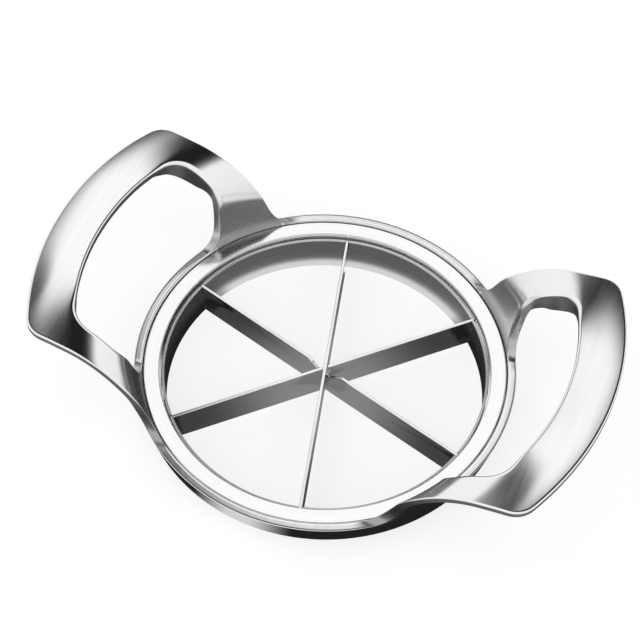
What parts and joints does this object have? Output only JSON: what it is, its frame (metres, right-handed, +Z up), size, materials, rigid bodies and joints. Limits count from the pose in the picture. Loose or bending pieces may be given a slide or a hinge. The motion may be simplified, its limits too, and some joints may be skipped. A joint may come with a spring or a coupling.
{
  "type": "two-handed push fruit slicer",
  "caption": "Round polished metal slicer with crossed blades in a band, a clamping collar and raised loop handles on both sides, pushed straight down by hand.",
  "frame": {"origin": "on the table under the centre of the ring, level with the foot of the blade band", "axes": "+Z up, against the push of the hands; +X along the line through the two handles; +Y across it"},
  "size_m": [0.1734, 0.116, 0.0467],
  "materials": {
    "plated_casting": "bright chrome plate on a polished casting",
    "polished_collar": "bright chrome plate on a turned ring",
    "band_strip": "cold-rolled stainless strip, brushed round the band",
    "blade_steel": "bright-rolled stainless blade stock with a ground edge",
    "screw_steel": "plain stainless, machine turned"
  },
  "bodies": {
    "root": {"frame": "plated_casting", "collar": "polished_collar", "blade_band": "band_strip", "blade_upper": "blade_steel", "blade_middle": "blade_steel", "blade_lower": "blade_steel", "collar_screws": "screw_steel"}
  },
  "joints": []
}
